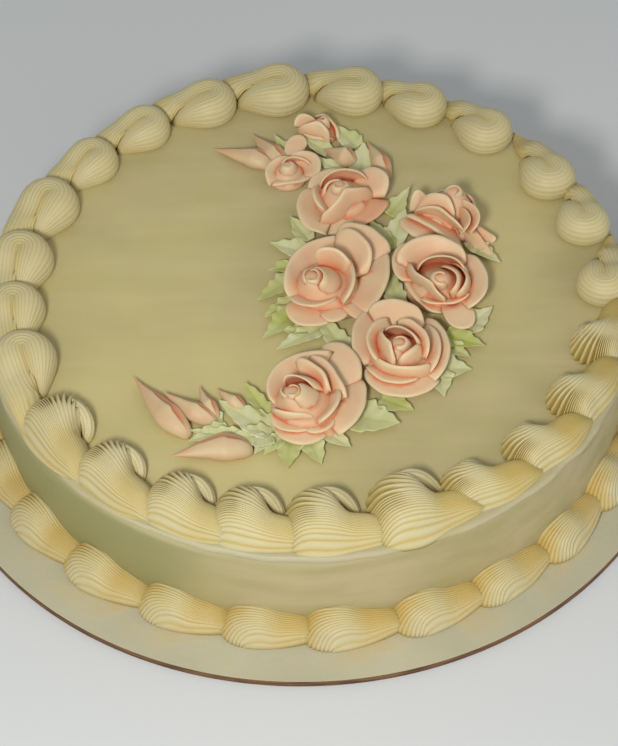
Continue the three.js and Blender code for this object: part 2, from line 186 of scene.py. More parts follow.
def feed(tree, target, value):
    """Links another node's value or colour to a socket, or sets a plain one on it."""
    if isinstance(value, bpy.types.NodeSocket):
        tree.links.new(value, target)
    else:
        target.default_value = value


def blended(tree, share, first, second):
    """A colour between first and second. Each is a plain colour or another node's colour."""
    node = tree.nodes.new("ShaderNodeMix")
    node.data_type = "RGBA"
    tree.links.new(share, node.inputs["Factor"])
    for socket, colour in (("A_Color", first), ("B_Color", second)):
        feed(tree, next(s for s in node.inputs if s.identifier == socket), colour)
    return next(s for s in node.outputs if s.identifier == "Result_Color")


def worked_out(tree, operation, first, second):
    """first and second joined by a Math node. Each is a number or a node's value."""
    node = tree.nodes.new("ShaderNodeMath")
    node.operation = operation
    for target, value in zip(node.inputs, (first, second)):
        feed(tree, target, value)
    return node.outputs[0]


def raised(tree, shader, height, distance, strength):
    """Fine relief: height, from 0 to 1, stands distance proud of the surface."""
    bump = tree.nodes.new("ShaderNodeBump")
    bump.inputs["Distance"].default_value = distance
    bump.inputs["Strength"].default_value = strength
    tree.links.new(height, bump.inputs["Height"])
    tree.links.new(bump.outputs["Normal"], shader.inputs["Normal"])


def add_piece(name, bm, materials, slot, *nodes):
    """Makes a finished bmesh a piece that rides on the cake and stands for its CAD solids."""
    mesh = bpy.data.meshes.new(name)
    bm.to_mesh(mesh)
    bm.free()
    mesh.shade_smooth()
    for material in materials:
        mesh.materials.append(material)
    piece = bpy.data.objects.new(name, mesh)
    bpy.context.scene.collection.objects.link(piece)
    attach(piece, "root")
    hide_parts(*nodes)


def axis_distance(tree):
    """How far a place lies from the middle of the board."""
    place = tree.nodes.new("ShaderNodeTexCoord")
    reach = tree.nodes.new("ShaderNodeVectorMath")
    reach.operation = "LENGTH"
    tree.links.new(place.outputs["Object"], reach.inputs[0])
    return reach.outputs["Value"]


def card_face():
    """The coated face: off-white, a little cloudy, with thin greasy smears near the cake."""
    material, shader, tree = shader_material("card_face", CARD_ROUGHNESS)
    cloud = ranged(tree, noise_node(tree, CARD_CLOUDS), 0.35, 0.7)
    face = blended(tree, cloud, CARD_WHITE, CARD_GREY)
    near = ranged(tree, axis_distance(tree), SMEAR_START, SMEAR_END, 1.0, 0.0)
    patch = ranged(tree, noise_node(tree, SMEAR_PATCHES, 4.0, distortion=0.6), 0.44, 0.6)
    smear = worked_out(tree, "MULTIPLY", near, patch)
    tree.links.new(blended(tree, smear, face, CARD_SMEAR), shader.inputs["Base Color"])
    sheen = ranged(tree, smear, 0, 1, CARD_ROUGHNESS, SMEAR_ROUGHNESS)
    tree.links.new(sheen, shader.inputs["Roughness"])
    relief = worked_out(tree, "ADD", smear, noise_node(tree, CARD_GRAIN))
    raised(tree, shader, relief, CARD_RELIEF, 0.35)
    return material


def card_edge():
    """The cut edge: rough brown board, streaked along its layers."""
    material, shader, tree = shader_material("card_edge", EDGE_ROUGHNESS)
    layers = ranged(tree, noise_node(tree, EDGE_LAYERS, 4.0, (1, 1, 14)), 0.35, 0.65)
    tree.links.new(blended(tree, layers, CARD_CORE, CARD_CORE_DARK), shader.inputs["Base Color"])
    raised(tree, shader, layers, EDGE_RELIEF, 0.6)
    return material


bm = bmesh.new()
bmesh.ops.create_cone(
    bm, cap_ends=True, segments=BOARD_SEGMENTS, radius1=BOARD_RADIUS, radius2=BOARD_RADIUS,
    depth=BOARD_TOP, matrix=Matrix.Translation((0, 0, BOARD_TOP / 2)),
)
rims = [e for e in bm.edges if abs(e.verts[0].co.z - e.verts[1].co.z) < BOARD_TOP / 2]
bmesh.ops.bevel(
    bm, geom=rims, offset=BOARD_EASE, segments=3, affect="EDGES", profile=0.5, material=-1,
)
for face in bm.faces:
    face.material_index = 0 if abs(face.normal.z) > 0.8 else 1
add_piece("board", bm, [card_face(), card_edge()], "board_card", "cake_board")


# The cake: sponge coated all over with ivory buttercream, smoothed with a palette knife that
# pushed it over the top edge into a thin uneven lip and left faint strokes. Light and shade are
# painted into the coating: a painted pool of light at the front left of the top, a painted
# highlight along the lip, and painted shade on the wall, darkest and greenish at the left.
cake_low, cake_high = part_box("cake")
CAKE_CENTRE = Vector(((cake_low.x + cake_high.x) / 2, 0, 0))
CAKE_TOP = cake_high.z
CAKE_FOOT = cake_low.z
WALL_RADIUS = 127.6 * MM
LIP_RADIUS = 128.6 * MM
LIP_DEPTH = 3.4 * MM
LIP_WAVE = 1.0 * MM
LIP_THIN = 0.8 * MM
LIP_DROOP = 1.3 * MM
LIP_BLEND = 3 * MM
LIP_POINTS = 9
WALL_RINGS = 12
TOP_RING = 3.4 * MM
LAST_RING_GAP = 4 * MM
CAKE_STEPS = 300
TOP_WAVE = 0.35 * MM
WALL_WAVE = 0.5 * MM
RIM_WIDTH = 8 * MM
# Where the painted highlight along the rim of the top starts.
HIGHLIGHT_RIM = 118 * MM
# How much of the deep colour is painted shade on the wall, and on the top away from the painted pool
# of light.
WALL_SHADE = 0.75
TOP_FALLOFF_SHADE = 0.33
# Where the painted shade on the wall at the left lies.
LEFT_SHADE_START = -15 * MM
LEFT_SHADE_WIDTH = 50 * MM
LEFT_SHADE_LENGTH = 60 * MM
COATING = (0.63, 0.54, 0.225, 1.0)
COATING_DEEP = (0.385, 0.33, 0.15, 1.0)
COATING_WARM = (0.465, 0.385, 0.21, 1.0)
# The colour of the painted highlight at the rim.
COATING_HIGHLIGHT = (0.45, 0.42, 0.28, 1.0)
# The painted pool of light on the top, and its reach.
LIGHT_POOL_PLACE = Vector((-55 * MM, -75 * MM, CAKE_TOP))
LIGHT_POOL_REACH = 110 * MM
# The colour of the painted shade on the wall at the left.
COATING_LEFT_SHADE = (0.3, 0.275, 0.11, 1.0)
KNIFE_SCALE = 34
KNIFE_STROKES = (0.5, 2.2, 3.0)
ICING_CLOUDS = (0.3, 0.7)
ICING_GRAIN = 1500
ICING_HOLES = 330
HOLE_SHARE = 0.65
ICING_SHEEN = (0.42, 0.58)
ICING_SCATTER = (1.0, 0.72, 0.35)
SCATTER_SHARE = 0.25
SCATTER_REACH = 2.2 * MM
ICING_SPECULAR = 0.35


def buttercream_group():
    """Shared by every icing: cloudy colour, tiny air holes and a soft grain."""
    group = bpy.data.node_groups.new("buttercream", "ShaderNodeTree")
    for side, kind, names in (
        ("INPUT", "NodeSocketColor", ("Light", "Deep")),
        ("INPUT", "NodeSocketFloat", ("Crease", "Cloud", "Cloud Scale")),
        ("OUTPUT", "NodeSocketColor", ("Color",)),
        ("OUTPUT", "NodeSocketFloat", ("Roughness", "Height")),
    ):
        for name in names:
            group.interface.new_socket(name, in_out=side, socket_type=kind)
    entry = group.nodes.new("NodeGroupInput")
    leave = group.nodes.new("NodeGroupOutput")
    place = group.nodes.new("ShaderNodeTexCoord")
    cloud = group.nodes.new("ShaderNodeTexNoise")
    cloud.inputs["Detail"].default_value = 3.0
    group.links.new(place.outputs["Object"], cloud.inputs["Vector"])
    group.links.new(entry.outputs["Cloud Scale"], cloud.inputs["Scale"])
    cloudy = ranged(group, cloud.outputs["Fac"], *ICING_CLOUDS)
    share = worked_out(group, "MULTIPLY", cloudy, entry.outputs["Cloud"])
    share = worked_out(group, "ADD", share, entry.outputs["Crease"])
    colour = blended(group, share, entry.outputs["Light"], entry.outputs["Deep"])
    grain = noise_node(group, ICING_GRAIN, 2.0)
    holes = group.nodes.new("ShaderNodeTexVoronoi")
    holes.inputs["Scale"].default_value = ICING_HOLES
    group.links.new(place.outputs["Object"], holes.inputs["Vector"])
    pits = ranged(group, holes.outputs["Distance"], 0.02, 0.16)
    height = worked_out(group, "MULTIPLY", grain, 1 - HOLE_SHARE)
    height = worked_out(group, "ADD", height, worked_out(group, "MULTIPLY", pits, HOLE_SHARE))
    group.links.new(colour, leave.inputs["Color"])
    group.links.new(ranged(group, grain, 0.3, 0.7, *ICING_SHEEN), leave.inputs["Roughness"])
    group.links.new(height, leave.inputs["Height"])
    return group


BUTTERCREAM = buttercream_group()


def masked(tree, attribute):
    """The share that a piece's mesh carries in one of its attributes."""
    mask = tree.nodes.new("ShaderNodeAttribute")
    mask.attribute_name = attribute
    return mask.outputs["Fac"]


def icing_material(name, light, deep, cloud, cloud_scale, crease, relief=0.12 * MM):
    """An icing: its light and deep colours, how cloudy it is and what its crease mask is."""
    material, shader, tree = shader_material(name, 0.5)
    icing = tree.nodes.new("ShaderNodeGroup")
    icing.node_tree = BUTTERCREAM
    icing.inputs["Cloud"].default_value = cloud
    icing.inputs["Cloud Scale"].default_value = cloud_scale
    for socket, colour in (("Light", light), ("Deep", deep)):
        feed(tree, icing.inputs[socket], colour(tree) if callable(colour) else colour)
    tree.links.new(masked(tree, crease), icing.inputs["Crease"])
    tree.links.new(icing.outputs["Color"], shader.inputs["Base Color"])
    tree.links.new(icing.outputs["Roughness"], shader.inputs["Roughness"])
    raised(tree, shader, icing.outputs["Height"], relief, 0.5)
    shader.inputs["Subsurface Weight"].default_value = SCATTER_SHARE
    shader.inputs["Subsurface Radius"].default_value = ICING_SCATTER
    shader.inputs["Subsurface Scale"].default_value = SCATTER_REACH
    shader.inputs["Specular IOR Level"].default_value = ICING_SPECULAR
    return material


def knife_strokes_and_shade(tree):
    """The deep colour of the coating, warm along the knife's strokes, and a darker greenish painted
    shade for the wall at the left.
    """
    strokes = noise_node(tree, KNIFE_SCALE, 4.0, KNIFE_STROKES, 0.4)
    warm = blended(tree, ranged(tree, strokes, 0.35, 0.65), COATING_DEEP, COATING_WARM)
    return blended(tree, masked(tree, "green"), warm, COATING_LEFT_SHADE)


def highlighted_top_colour(tree):
    """The light colour of the coating, with a painted highlight: paler towards the rim and lip of the
    top.
    """
    return blended(tree, masked(tree, "edge"), COATING, COATING_HIGHLIGHT)


def smooth(share):
    """An S-shaped ramp from 0 to 1."""
    share = max(0.0, min(1.0, share))
    return share * share * (3 - 2 * share)


def wander(place, scale, seed):
    """A smooth repeatable unevenness between -1 and 1."""
    return noise.noise(place * scale + Vector((seed, seed * 1.7, -seed)))


def turned(bm, profile, steps):
    """Spins a line, given by its radii and heights, once round the upright axis."""
    line = [bm.verts.new((reach, 0, height)) for reach, height in profile]
    edges = [bm.edges.new(pair) for pair in zip(line, line[1:])]
    bmesh.ops.spin(
        bm, geom=line + edges, axis=(0, 0, 1), cent=(0, 0, 0), angle=2 * math.pi,
        steps=steps, use_merge=True,
    )


lip_foot = CAKE_TOP - LIP_DEPTH
lip_middle = (CAKE_TOP + lip_foot) / 2
profile = [(0, CAKE_TOP)]
radius = TOP_RING
while radius < LIP_RADIUS - LAST_RING_GAP:
    profile.append((radius, CAKE_TOP))
    radius += TOP_RING
for i in range(LIP_POINTS):
    turn = math.pi / 2 - math.pi * i / (LIP_POINTS - 1)
    reach = LIP_RADIUS - LIP_DEPTH / 2 + LIP_DEPTH / 2 * math.cos(turn)
    if turn < 0:
        reach = max(reach, WALL_RADIUS)
    profile.append((reach, lip_middle + LIP_DEPTH / 2 * math.sin(turn)))
for i in range(1, WALL_RINGS + 1):
    profile.append((WALL_RADIUS, lip_foot + (CAKE_FOOT - lip_foot) * i / WALL_RINGS))
profile.append((0, CAKE_FOOT))

bm = bmesh.new()
edge = bm.verts.layers.float.new("edge")
coating_shade = bm.verts.layers.float.new("coating_shade")
green = bm.verts.layers.float.new("green")
turned(bm, profile, CAKE_STEPS)
bmesh.ops.remove_doubles(bm, verts=bm.verts, dist=0.01 * MM)
bmesh.ops.recalc_face_normals(bm, faces=bm.faces)
for v in bm.verts:
    flat = Vector((v.co.x, v.co.y, 0))
    if flat.length < 1e-6:
        continue
    outward = flat.normalized()
    # left marks the painted shade, darker and greenish, on the wall at the left.
    left = smooth((LEFT_SHADE_START - v.co.x) / LEFT_SHADE_WIDTH)
    left *= smooth((LEFT_SHADE_LENGTH - v.co.y) / LEFT_SHADE_LENGTH)
    below = smooth((lip_foot - v.co.z) / LIP_BLEND)
    # edge is a painted highlight along the rim and lip of the top, weaker at the left.
    v[edge] = (1 - 0.3 * left) * (1 - below) * smooth((flat.length - HIGHLIGHT_RIM) / RIM_WIDTH)
    # The top is painted palest round a pool of light at the front left and deeper away from it; the
    # wall is painted in shade.
    painted_falloff = TOP_FALLOFF_SHADE * smooth((v.co - LIGHT_POOL_PLACE).length / LIGHT_POOL_REACH)
    v[coating_shade] = (WALL_SHADE + (1 - WALL_SHADE) * left) * below + painted_falloff * (1 - below)
    # green carries the greenish painted shade on the wall at the left.
    v[green] = left * below
    if v.co.z > CAKE_TOP - 0.1 * MM:
        v.co.z += TOP_WAVE * wander(v.co, 28, 3) * min(1, (LIP_RADIUS - flat.length) / RIM_WIDTH)
    elif v.co.z > CAKE_FOOT + 0.1 * MM:
        ring = outward * WALL_RADIUS
        share = max(0.0, min(1.0, (v.co.z - lip_foot + LIP_BLEND) / LIP_BLEND))
        wave = WALL_WAVE * wander(v.co, 30, 5) * (1 - share)
        wave += LIP_WAVE * (wander(ring, 45, 7) + 0.6 * wander(ring, 120, 8)) * share
        v.co += outward * (wave - LIP_THIN * left * share)
        v.co.z += LIP_DROOP * share * (1 - share) * 4 * wander(ring, 60, 9)
bmesh.ops.translate(bm, verts=bm.verts, vec=CAKE_CENTRE)
# The deep colour is laid on as painted shade: on the wall, on the top away from the painted pool of
# light, and greenish on the wall at the left.
coating = icing_material("coating_icing", highlighted_top_colour, knife_strokes_and_shade, 0.5, 16, "coating_shade")
add_piece("coated_cake", bm, [coating], "coating_icing", "cake")


# The top border: 24 strokes of ivory buttercream, piped anticlockwise round the edge with a star
# nozzle, each pulled out into a tail that the next one covers. At the back they are curls. At
# the front their ridges fan over a head with a notched rim, and the rope's start lies against it.
PIPED = (0.565, 0.505, 0.29, 1.0)
PIPED_DEEP = (0.5, 0.37, 0.11, 1.0)
# The brown painted shade in the notches.
PIPED_NOTCH_SHADE = (0.24, 0.16, 0.03, 1.0)
RIDGE_SAMPLES = 5
MERGE_REACH = 0.0005 * MM
SHELL_FOOT = -0.6
STROKE_WAVE = 0.35 * MM
# A border's ring and the form of its strokes, in mm and degrees. On a stroke x runs ahead along
# the ring from the middle of the head, y outwards and z up.
TOP_BORDER = {
    "centre": (2.5, 2.2), "radius": 116.3, "base": CAKE_TOP, "first": 18.6, "strokes": 24,
    "head": 12.0, "half": 12.2, "height": 12.6, "tail": 33.5, "tail_size": 1.04, "notch": 0.4,
    "sway": 0.97, "sink": 0.75, "inner_rim": 122, "outer_rim": 50, "rim_cut": 5.6,
    "outer_flank": 1.0, "left_reach": 0.1, "overhang": 1.8, "shade": 1.0,
}
# Each stroke: its size, and how far it is shifted along the ring.
TOP_STROKES = (
    (0.9, -1.6), (0.93, -2.1), (0.93, 1.1), (0.93, 1.6), (1.0, 0.8), (1.07, 1.9), (0.98, 2.0),
    (0.9, 2.0), (0.92, 1.3), (1.04, 1.5), (1.09, 2.6), (1.01, 0.8), (1.07, -0.6), (1.03, 1.4),
    (0.96, 1.4), (1.0, 1.3), (1.07, -0.7), (1.15, -2.0), (1.26, -1.0), (0.88, -3.5), (0.86, -3.8),
    (0.88, -3.6), (0.88, -4.0), (0.88, -3.6),
)
FANS = range(13, 23)
FAN_RIDGES = 20
FAN_ROWS = 34
FAN_DEPTH = 0.34
FAN_SPREAD = 0.3
FAN_GATHER = 0.8
FAN_SKIRT = 2.5
FAN_WAIST = 0.4
HEAD_FULLNESS = 2.6
# How much ochre painted shade lies along a fan's tail.
FAN_TAIL_SHADE = 0.45
NARROW_START = 1.0
NARROW_RUN = 9.0
WAIST_DIP = 0.25
SINK_START = 0.52
SINK_RUN = 0.35
LEFT_STROKE = 16
FLANK_START = 5.0
FLANK_RUN = 8.0
RIM_START = 0.17
RIM_RUN = 0.16
BELLY = 0.9
BELLY_HEIGHT = 2.6
BELLY_SPREAD = 2.2
LIMB_RIDGES = 8
LIMB_ROWS = 18
LIMB_HALF = 2.6
LIMB_RISE = 8.0
LIMB_GROOVE = 0.14
LIMB_PLAN = (Vector((12, -2)), Vector((11.5, -6.5)), Vector((7, -10.5)), Vector((-4, -6.5)))
HOOK_RIDGES = 13
HOOK_ROWS = 44
HOOK_DEPTH = 0.26
HOOK_BEND = 0.24
HOOK_BEND_END = 0.58
HOOK_TIP = 18.0
HOOK_START = 1.6
HOOK_CREASE = 12.1
HOOK_CREST = 0.45
HOOK_OVERLAP = 0.5
HOOK_WAIST = 3.5
HOOK_TUCK = math.radians(50)
HOOK_FLANK = 0.68
HOOK_WAVE = 0.4 * MM


def ring_place(border, size, shift, index, x, y, z):
    """A place on stroke number index: x runs ahead along the ring, y outwards, z up, in mm."""
    turn = math.radians(border["first"] + shift + 360 * index / border["strokes"])
    turn += x * size / border["radius"]
    reach = (border["radius"] + y * size) * MM
    centre_x, centre_y = border["centre"]
    return Vector((
        centre_x * MM + reach * math.cos(turn), centre_y * MM + reach * math.sin(turn),
        border["base"] + z * size * MM,
    ))


def tail_shape(border, x):
    """How far a stroke is still swollen at x, and where its middle lies there."""
    if x <= 0:
        return 1.0, 0.0
    tail = min(0.999, x / border["tail"])
    swell = (1 - border["notch"] * smooth((x - NARROW_START) / NARROW_RUN)) * (1 - tail ** 3)
    return swell, border["half"] * (1 - swell) * border["sway"]


def tail_height(border, x):
    """The height of a stroke at x. Its tail sinks under the head of the next one."""
    tail = max(0.0, x / border["tail"])
    top = border["height"] * max(0.02, 1 - tail ** 3) * (1 - WAIST_DIP * smooth((x - 1) / 10))
    return top * (1 - border["sink"] * smooth((tail - SINK_START) / SINK_RUN))


def dome_height(border, x, y):
    """The height of a shell's smooth form over x, y, and the slope of its side."""
    swell, middle = tail_shape(border, x)
    half = border["half"] * swell
    behind = min(0.0, x) / border["head"]
    off = (y - middle) / half
    top = tail_height(border, x)
    full = abs(behind) ** HEAD_FULLNESS + abs(off) ** HEAD_FULLNESS
    rise = top * math.sqrt(max(0.0, 1 - full))
    lean = Vector((behind / border["head"], off / half, max(rise, 0.05) / (top * top)))
    return rise, lean.normalized()


def bezier(points, share):
    """A point on a cubic curve."""
    rest = 1 - share
    weights = (rest ** 3, 3 * rest * rest * share, 3 * rest * share * share, share ** 3)
    return sum((p * w for p, w in zip(points, weights)), Vector((0, 0)))


def fan_line(border, across):
    """The plan of one ridge, from the foot of the head over it and into the tail."""
    side = border["outer_rim"] * across if across > 0 else border["inner_rim"] * across
    turn = math.radians(180 - side)
    foot = Vector((border["head"] * math.cos(turn), border["half"] * math.sin(turn)))
    round_off = abs(math.cos(turn)) ** HEAD_FULLNESS + abs(math.sin(turn)) ** HEAD_FULLNESS
    foot /= round_off ** (1 / HEAD_FULLNESS)
    inner = foot * (1 - FAN_GATHER * (1 - across ** 6))
    inner.x += 0.5 + FAN_SKIRT * abs(across)
    inner.y += (border["half"] * 1.1 - foot.y) * max(0.0, across) ** 3
    half_way = border["tail"] * FAN_WAIST
    swell, middle = tail_shape(border, half_way)
    off = math.sin(across * math.pi / 2) * border["half"] * swell
    waist = Vector((half_way, middle + off))
    return foot, inner, waist, Vector((border["tail"], middle * 1.5 + 0.3 * across))


def fan_place(border, size, shift, index, place):
    """ring_place for a shell, whose tail keeps its width however large its head is."""
    size += (border["tail_size"] - size) * smooth((place.x + 2) / 14)
    left = smooth((LEFT_STROKE - index) / 2)
    wide = border["outer_flank"] + border["left_reach"] * left if place.y > 0 else 1.0
    drop = border["overhang"] * (1 + left) * smooth((place.y - FLANK_START) / FLANK_RUN)
    return ring_place(border, size, shift, index, place.x, place.y * wide, place.z - drop)


def sheet(bm, columns, rows):
    """The points of a flat grid, from -1 to 1 both ways, to be bent into a stroke or a petal."""
    return bmesh.ops.create_grid(bm, x_segments=columns, y_segments=rows, size=1)["verts"]


def fan_stroke(bm, crease, notch, border, size, shift, index, ridges, depth, tail_shade):
    """One shell whose ridges fan over its head and run together into its tail."""
    seed = index * 3.7
    lines = {}
    for v in sheet(bm, ridges * RIDGE_SAMPLES, FAN_ROWS):
        spread = max(-1.0, min(1.0, v.co.x))
        across = spread + FAN_SPREAD * (1 - spread * spread)
        key = round(across, 4)
        if key not in lines:
            lines[key] = fan_line(border, across)
        run = ((v.co.y + 1) / 2) ** 1.6
        plan = bezier(lines[key], run)
        rise, lean = dome_height(border, plan.x, plan.y)
        rise *= math.sqrt(max(0.0, 1 - across ** 10))
        if run < 1e-6 or rise < 0.02:
            rise = SHELL_FOOT
        ridge = abs(math.sin(math.pi * ridges * (spread + 1) / 2))
        outer = smooth(plan.y / FLANK_RUN)
        rim = (1 - smooth((run - RIM_START) / RIM_RUN)) * smooth((FLANK_RUN - plan.y) / FLANK_RUN)
        deep = depth * (1 + border["rim_cut"] * rim + 0.6 * outer) * (1 - 0.4 * run)
        cut = (ridge ** (0.7 + 0.2 * rim) - 1) * deep
        belly = BELLY * math.exp(-(((rise - BELLY_HEIGHT) / BELLY_SPREAD) ** 2))
        place = Vector((plan.x, plan.y, rise)) + lean * cut
        place += Vector((lean.x, lean.y, 0)) * belly
        spot = fan_place(border, size, shift, index, place)
        spot.z += STROKE_WAVE * wander(spot, 90, seed) * smooth(rise / 4)
        # notch marks the brown painted shade in the notches along the back of the head.
        v[notch] = rim * (1 - ridge) ** 0.75
        # The crease mask paints shade into the colour: ochre between the ridges and on the outer
        # flank, low down at the foot, behind the head and along the tail, and brown in the notches.
        v[crease] = min(1.0, (
            border["shade"] * (0.5 + 0.4 * outer) * (1 - ridge) ** 1.5
            + border["shade"] * 0.5 * math.exp(-max(rise, 0) / 1.8) + 1.5 * v[notch]
            + tail_shade * smooth((plan.x - 3) / 9) * (1 - 0.6 * abs(across) ** 3)
            + 0.4 * smooth((-plan.x - 6) / 5)
        ))
        v.co = spot


def curl_limb(bm, crease, border, size, shift, index):
    """The start of a fanned stroke: a short ridged rope from the notch up against the head."""
    for v in sheet(bm, LIMB_RIDGES * RIDGE_SAMPLES, LIMB_ROWS):
        run = (v.co.y + 1) / 2
        turn = math.pi * v.co.x
        ridge = abs(math.sin(LIMB_RIDGES * turn / 2))
        ahead = bezier(LIMB_PLAN, run + 0.01) - bezier(LIMB_PLAN, run - 0.01)
        aside = Vector((-ahead.y, ahead.x)).normalized()
        half = LIMB_HALF * math.sqrt(math.sin(math.pi * (0.03 + 0.9 * run)))
        half *= 1 - LIMB_GROOVE * (1 - ridge)
        plan = bezier(LIMB_PLAN, run) + aside * half * math.cos(turn)
        middle = LIMB_RISE * smooth(run)
        rise = middle + (1.1 * half if turn > 0 else middle - SHELL_FOOT) * math.sin(turn)
        # Painted shade: ochre in the grooves and low down where the rope meets the head.
        v[crease] = 0.35 * (1 - ridge) + 0.6 * (1 - smooth(rise / 4))
        v.co = ring_place(border, size, shift, index, plan.x, plan.y, rise)


def hook_section(border, x, outer):
    """The rope of a curl at x: its outer edge, crest, inner edge, height and crease height."""
    if outer:
        swell, middle = tail_shape(border, x)
        edge = middle + border["half"] * swell
        inside = max(0.5 * middle * smooth((x - HOOK_TIP + 3) / 14), middle - border["half"] * swell)
        inside -= HOOK_OVERLAP
        top = tail_height(border, x)
    else:
        share = max(0.0, 1 - (x / HOOK_TIP) ** 2)
        edge = HOOK_START + (border["half"] - HOOK_START) * share ** 1.15
        inside = 0.6 * (x / HOOK_TIP) ** 2 - HOOK_OVERLAP
        top = border["height"] * share ** 0.75 + 0.3
    fold = HOOK_CREASE * max(0.0, 1 - (max(0.0, x) / HOOK_TIP) ** 4)
    return edge, inside + HOOK_CREST * (edge - inside), inside, top, min(fold, top * 0.96)


def hook_stroke(bm, crease, border, size, shift, index, ridges, depth):
    """One curl: a ridged rope that starts beside the head, turns round it and runs out in a tail."""
    seed = index * 5.3
    for v in sheet(bm, ridges * RIDGE_SAMPLES, HOOK_ROWS):
        run = (v.co.y + 1) / 2
        share = (v.co.x + 1) / 2
        outer = run >= HOOK_BEND_END
        if outer:
            x = border["tail"] * ((run - HOOK_BEND_END) / (1 - HOOK_BEND_END)) ** 1.1
        else:
            x = HOOK_TIP * max(0.0, 1 - run / HOOK_BEND)
        edge, crest, inside, top, fold = hook_section(border, x, outer)
        waist = min(HOOK_WAIST, top * 0.4)
        lift = top - waist
        if fold > waist:
            far = math.pi - math.asin(min(0.98, (fold - waist) / lift))
            inner_half = (crest - inside) / -math.cos(far)
        else:
            far = math.pi + HOOK_TUCK * (1 - fold / waist)
            inner_half = crest - inside
        if share < HOOK_FLANK:
            turn = -HOOK_TUCK + (math.pi / 2 + HOOK_TUCK) * share / HOOK_FLANK
        else:
            turn = math.pi / 2 + (far - math.pi / 2) * (share - HOOK_FLANK) / (1 - HOOK_FLANK)
        ridge = abs(math.sin(math.pi * ridges * share))
        cut = (ridge ** 0.7 - 1) * depth * min(1.0, top / 5)
        half = edge - crest if turn < math.pi / 2 else inner_half
        off = crest + (half + cut) * math.cos(turn)
        rise = waist + (lift + cut) * math.sin(turn)
        if turn < 0 or turn > math.pi:
            rise = waist + (waist - SHELL_FOOT) * math.sin(turn) / math.sin(HOOK_TUCK)
        if outer or run < HOOK_BEND:
            plan = Vector((x, off if outer else -off))
        else:
            bend = math.pi * (run - HOOK_BEND) / (HOOK_BEND_END - HOOK_BEND)
            plan = Vector((-off * math.sin(bend), -off * math.cos(bend)))
            plan.x *= border["head"] / border["half"]
        spot = ring_place(border, size, shift, index, plan.x, plan.y, rise)
        spot.z += HOOK_WAVE * wander(spot, 80, seed) * smooth(rise / 4)
        # Painted shade: ochre in the grooves, low down, on the inner side of the curl and along its
        # tail.
        v[crease] = min(1.0, (
            0.12 + 0.35 * (1 - ridge) ** 1.5 + 0.4 * math.exp(-max(rise, 0) / 1.5)
            + 0.4 * smooth((share - 0.75) / 0.25) + 0.3 * smooth((plan.x - 12) / 10)
        ))
        v.co = spot


def close_strokes(bm):
    """Closes the underside of every stroke, below the icing that it stands on."""
    bmesh.ops.remove_doubles(bm, verts=bm.verts, dist=MERGE_REACH)
    rims = [e for e in bm.edges if e.is_boundary]
    bmesh.ops.holes_fill(bm, edges=rims, sides=0)
    bmesh.ops.recalc_face_normals(bm, faces=bm.faces)


def notch_shade_colour(tree):
    """The deep colour of the piping: ochre, and a brown painted shade in the notches along the back of
    a head.
    """
    return blended(tree, masked(tree, "notch"), PIPED_DEEP, PIPED_NOTCH_SHADE)


border_icing = icing_material("border_icing", PIPED, notch_shade_colour, 0.12, 60, "crease")
TOP_PIECES = {
    "top_curls_right": range(0, 7), "top_curls_left": range(7, 13), "top_fans": range(13, 24),
}
for name, members in TOP_PIECES.items():
    bm = bmesh.new()
    crease = bm.verts.layers.float.new("crease")
    notch = bm.verts.layers.float.new("notch")
    for k in members:
        size, shift = TOP_STROKES[k]
        if k in FANS:
            # tail_shade: the ochre painted shade along the tail, full on the strokes at the right
            # front.
            tail_shade = FAN_TAIL_SHADE + (1 - FAN_TAIL_SHADE) * smooth((k - 17) / 2)
            fan_stroke(bm, crease, notch, TOP_BORDER, size, shift, k, FAN_RIDGES, FAN_DEPTH, tail_shade)
            curl_limb(bm, crease, TOP_BORDER, size, shift, k)
        else:
            hook_stroke(bm, crease, TOP_BORDER, size, shift, k, HOOK_RIDGES, HOOK_DEPTH)
    close_strokes(bm)
    add_piece(name, bm, [border_icing], "border_icing", "top_shell_border")


# The foot border: 25 shells of the same icing, piped anticlockwise in the angle between the
# wall and the board. Their ridges run lengthwise and come together where the next one starts,
# and they grow paler outwards, further from the wall.
FOOT_BORDER = {
    "centre": (1.9, 0.0), "radius": 129.2, "base": BOARD_TOP, "first": 15.6, "strokes": 25,
    "head": 13.0, "half": 10.2, "height": 12.6, "tail": 34.0, "tail_size": 1.0, "notch": 0.16,
    "sway": 0.3, "sink": 0.35, "inner_rim": 110, "outer_rim": 80, "rim_cut": 1.5,
    "outer_flank": 1.0, "left_reach": 0.0, "overhang": 0.0, "shade": 0.55,
}
FOOT_RIDGES = 17
FOOT_DEPTH = 0.35
FOOT_PIPED = (0.53, 0.455, 0.23, 1.0)
FOOT_PALE = (0.53, 0.485, 0.305, 1.0)
FOOT_DEEP = (0.5, 0.34, 0.085, 1.0)
FOOT_PALE_START = 132 * MM
FOOT_PALE_END = 141 * MM
FOOT_UNEVENNESS = 0.07
# How much ochre painted shade lies along a foot shell's tail.
FOOT_TAIL_SHADE = 0.6


def uneven(seed):
    """A repeatable draw between -1 and 1."""
    draw = math.sin(seed * 127.1 + 11.7) * 43758.5453
    return 2 * (draw - math.floor(draw)) - 1


def foot_colour(tree):
    """The light colour of the foot border, paler on its outer side."""
    outside = ranged(tree, axis_distance(tree), FOOT_PALE_START, FOOT_PALE_END)
    return blended(tree, outside, FOOT_PIPED, FOOT_PALE)


bm = bmesh.new()
crease = bm.verts.layers.float.new("crease")
notch = bm.verts.layers.float.new("notch")
for k in range(FOOT_BORDER["strokes"]):
    size = 1 + FOOT_UNEVENNESS * uneven(k)
    shift = uneven(k + FOOT_BORDER["strokes"])
    fan_stroke(
        bm, crease, notch, FOOT_BORDER, size, shift, k, FOOT_RIDGES, FOOT_DEPTH, FOOT_TAIL_SHADE,
    )
close_strokes(bm)
